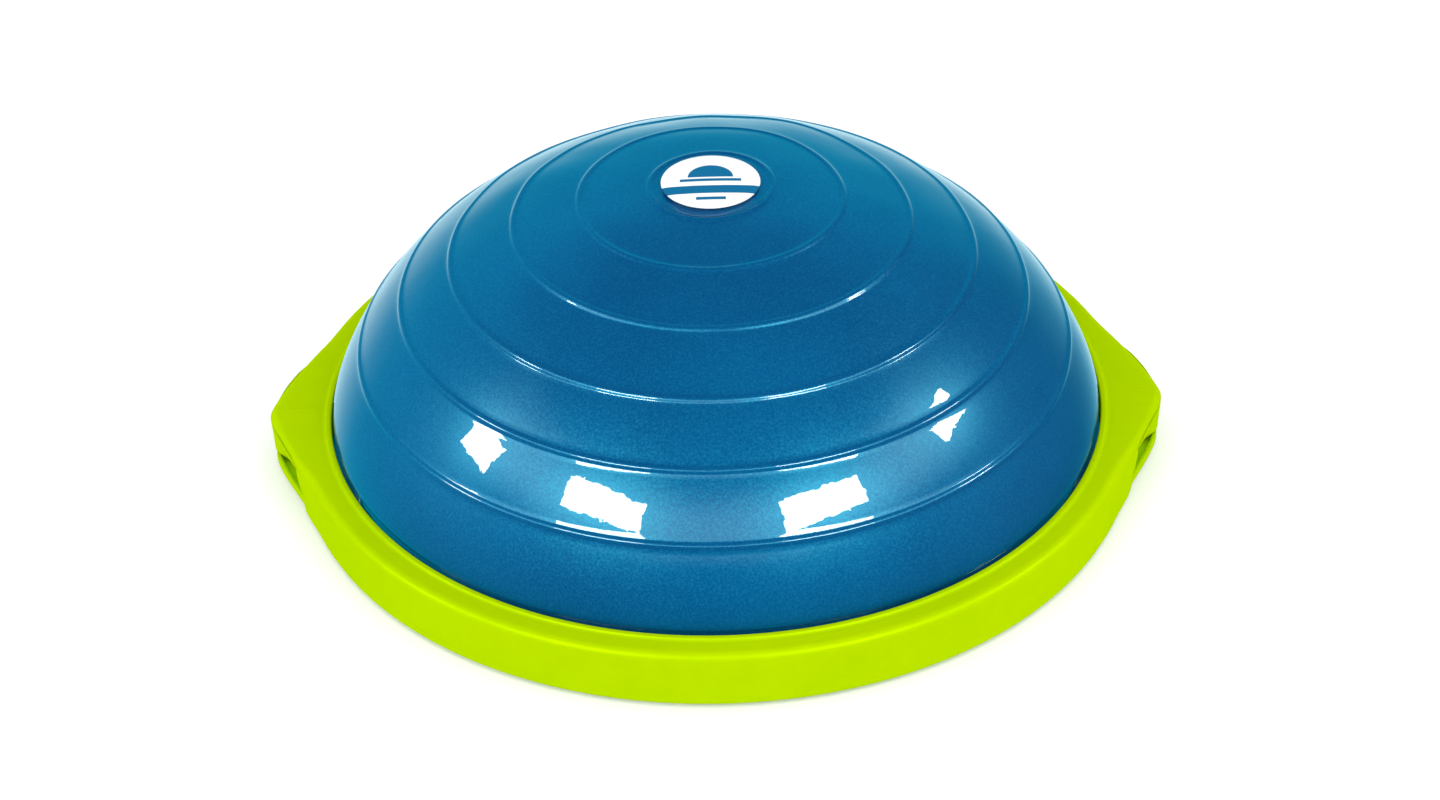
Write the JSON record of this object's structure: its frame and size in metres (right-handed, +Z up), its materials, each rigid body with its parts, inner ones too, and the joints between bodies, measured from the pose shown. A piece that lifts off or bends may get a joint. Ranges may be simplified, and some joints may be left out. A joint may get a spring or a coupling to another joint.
{
  "type": "balance dome trainer",
  "caption": "Inflated ribbed half-ball dome clamped in a low round platform with two built-in hand holds, for balance and rehabilitation exercise.",
  "frame": {"origin": "on the floor, under the middle of the dome, at the bottom of the rubber feet", "axes": "+Z up through the crown of the dome, +X along the line through the two hand holds"},
  "size_m": [0.5372, 0.5, 0.1933],
  "materials": {
    "dome_pvc": "satin-gloss soft PVC, deep blue",
    "label": "printed film, satin white",
    "rim_plastic": "satin lime polypropylene",
    "base_plastic": "fine-grained lime polypropylene",
    "valve_rubber": "moulded blue rubber",
    "plug": "satin white",
    "screws": "zinc-plated steel",
    "feet": "matt black rubber"
  },
  "bodies": {
    "platform": {"rim_cover": "rim_plastic", "base_plate": "base_plastic", "dome_bladder": "dome_pvc", "valve_body": "valve_rubber", "screw_01": "screws", "screw_02": "screws", "screw_03": "screws", "screw_04": "screws", "screw_05": "screws", "screw_06": "screws", "screw_07": "screws", "screw_08": "screws", "screw_09": "screws", "screw_10": "screws", "screw_11": "screws", "screw_12": "screws", "foot_01": "feet", "foot_02": "feet", "foot_03": "feet", "foot_04": "feet", "foot_05": "feet", "foot_06": "feet", "foot_07": "feet", "foot_08": "feet"},
    "crown": {"dome_label": "label"},
    "plug": {"valve_plug": "plug"}
  },
  "joints": [
    {"name": "dome_press", "type": "slide", "parent": "platform", "child": "crown", "axis": [0, 0, -1], "range_m": [0, 0.06], "stiffness_N_per_m": 300, "deforming": ["dome_bladder"]},
    {"name": "plug_pull", "type": "slide", "parent": "platform", "child": "plug", "axis": [0, 0, -1], "range_m": [0, 0.03]}
  ]
}
